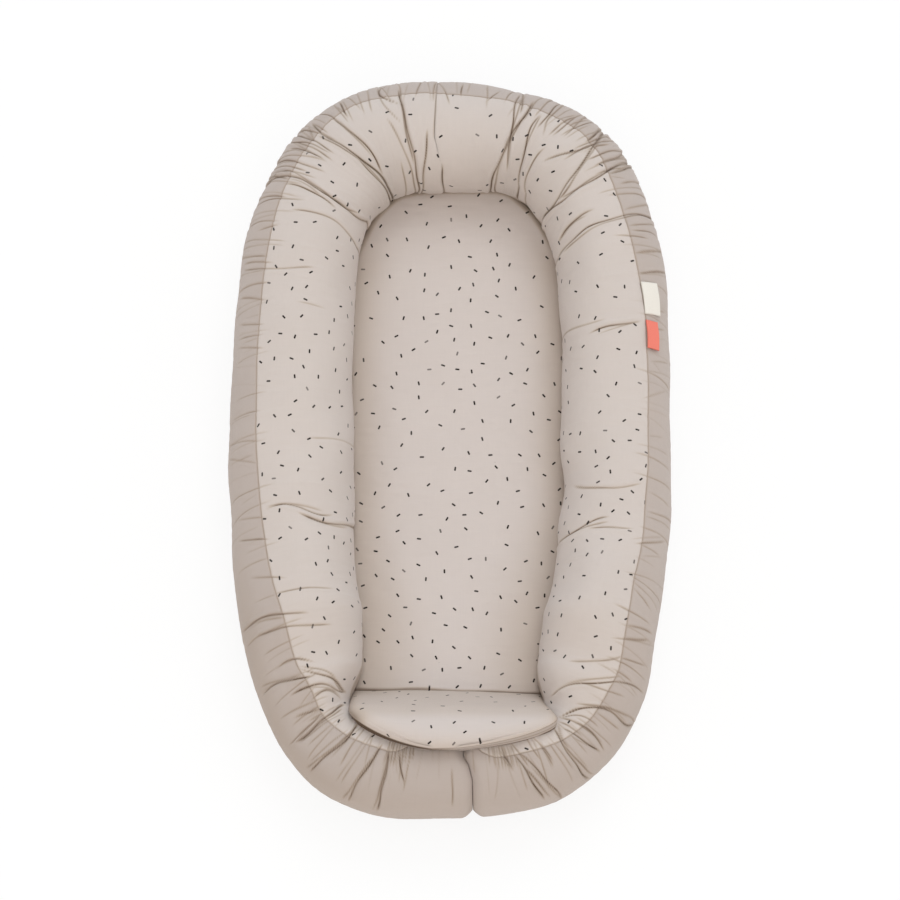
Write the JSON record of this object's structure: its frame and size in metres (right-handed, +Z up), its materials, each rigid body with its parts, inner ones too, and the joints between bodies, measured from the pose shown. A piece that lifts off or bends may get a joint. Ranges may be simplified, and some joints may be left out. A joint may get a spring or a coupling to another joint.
{
  "type": "infant lounger",
  "caption": "Oval padded infant nest: a stuffed printed and plain cotton roll around a quilted floor, with a loose folded foam pad and a zipped pad cover.",
  "frame": {"origin": "centre of the lounger's outline, on the floor that it lies on", "axes": "+X to the right as seen from the foot end, +Y to the head end, +Z up"},
  "size_m": [0.5, 0.88, 0.1355],
  "materials": {
    "printed_cotton": "matt woven cotton, pale warm grey with small dark dashes",
    "plain_cotton": "matt woven cotton, plain taupe",
    "polyester_fibre": "loose white fibre filling",
    "foam": "soft cream foam",
    "cream_tape": "woven cream tape",
    "coral_tape": "woven satin tape, coral",
    "zip_nylon": "woven tape and moulded teeth in beige",
    "zip_metal": "satin nickel lacquer"
  },
  "bodies": {
    "nest": {"bumper_filling": "polyester_fibre", "printed_sleeve": "printed_cotton", "plain_sleeve": "plain_cotton", "base_panel": "plain_cotton", "floor_wadding": "polyester_fibre", "floor_panel": "printed_cotton", "cream_tab": "cream_tape", "coral_tab": "coral_tape"},
    "foot_end_left": {"bumper_filling_left_end": "polyester_fibre", "printed_sleeve_left_end": "printed_cotton", "plain_sleeve_left_end": "plain_cotton", "end_cap_left": "plain_cotton"},
    "foot_end_right": {"bumper_filling_right_end": "polyester_fibre", "printed_sleeve_right_end": "printed_cotton", "plain_sleeve_right_end": "plain_cotton", "end_cap_right": "plain_cotton"},
    "pad": {"pad_foam": "foam", "pad_cover_top": "printed_cotton", "pad_cover_bottom": "plain_cotton", "pad_zip_tape": "zip_nylon", "pad_zip_teeth": "zip_nylon"},
    "zip_slider": {"pad_zip_slider": "zip_metal"},
    "zip_pull": {"pad_zip_pull": "zip_metal"}
  },
  "joints": [
    {"name": "foot_end_left_spread", "type": "hinge", "parent": "nest", "child": "foot_end_left", "pos_m": [-0.2172, -0.2909, 0.055], "axis": [0, 0, -1], "range_deg": [0, 35]},
    {"name": "foot_end_right_spread", "type": "hinge", "parent": "nest", "child": "foot_end_right", "pos_m": [0.2172, -0.2909, 0.055], "axis": [0, 0, 1], "range_deg": [0, 35]},
    {"name": "pad_lift", "type": "slide", "parent": "nest", "child": "pad", "axis": [0, 0, 1], "range_m": [0, 0.2]},
    {"name": "zip_slide", "type": "slide", "parent": "pad", "child": "zip_slider", "axis": [0, 1, 0], "range_m": [0, 0.191]},
    {"name": "zip_pull_swing", "type": "hinge", "parent": "zip_slider", "child": "zip_pull", "pos_m": [0.11445, -0.0509, 0.0188], "axis": [0, 0, -1], "range_deg": [0, 60]}
  ]
}
